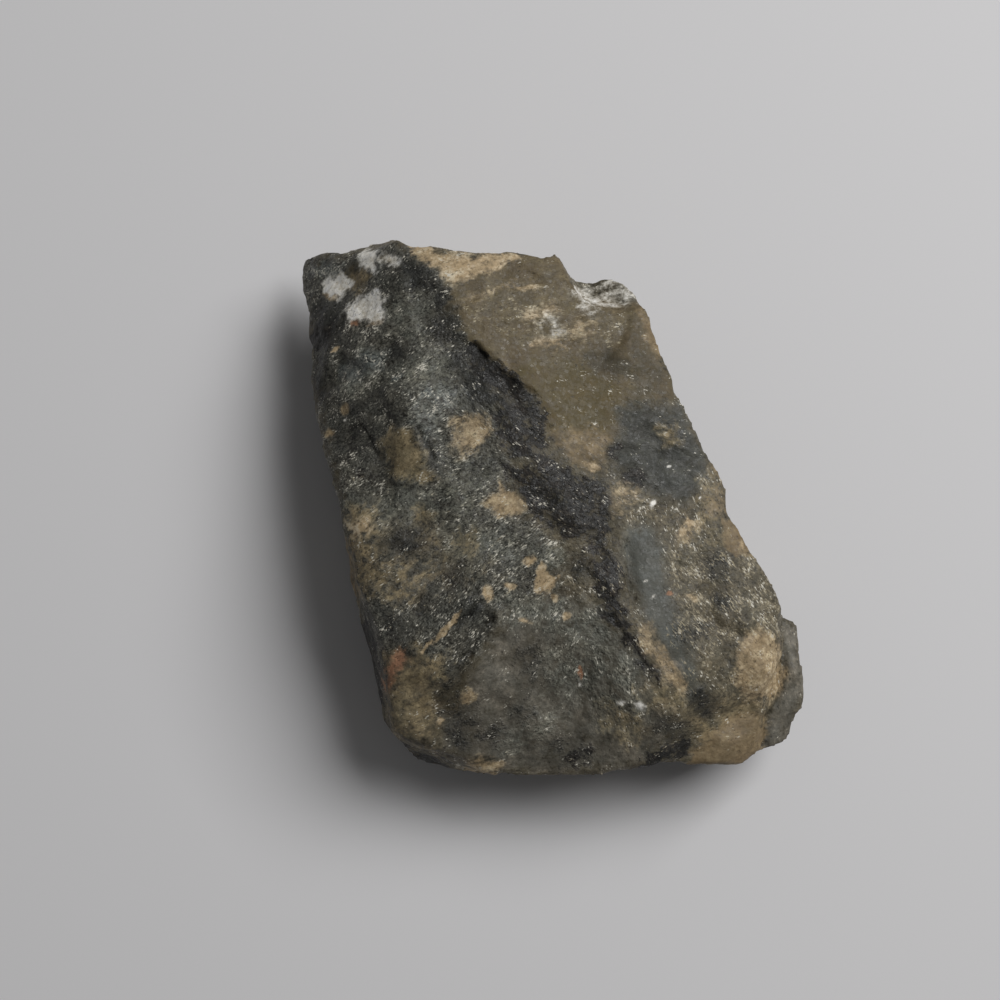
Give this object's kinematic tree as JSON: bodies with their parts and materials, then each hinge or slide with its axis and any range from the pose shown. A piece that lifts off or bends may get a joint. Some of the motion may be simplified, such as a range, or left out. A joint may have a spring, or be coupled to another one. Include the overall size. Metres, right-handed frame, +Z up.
{
  "type": "labradorite chunk",
  "caption": "Rough broken chunk of labradorite, a dark grey, brown and black feldspar, with a crystalline top face, broken sides and a small flat spot to rest on.",
  "frame": {"origin": "on the surface that the chunk rests on, under the middle of its bounding box", "axes": "+Z up through the chunk's thickness, from the flat spot it rests on to the broken top; +Y towards the dark back left corner's edge"},
  "size_m": [0.0568, 0.0602, 0.0188],
  "materials": {
    "labradorite": "broken crystalline stone, dull to glassy, not polished"
  },
  "bodies": {
    "root": {"labradorite_chunk": "labradorite"}
  },
  "joints": []
}
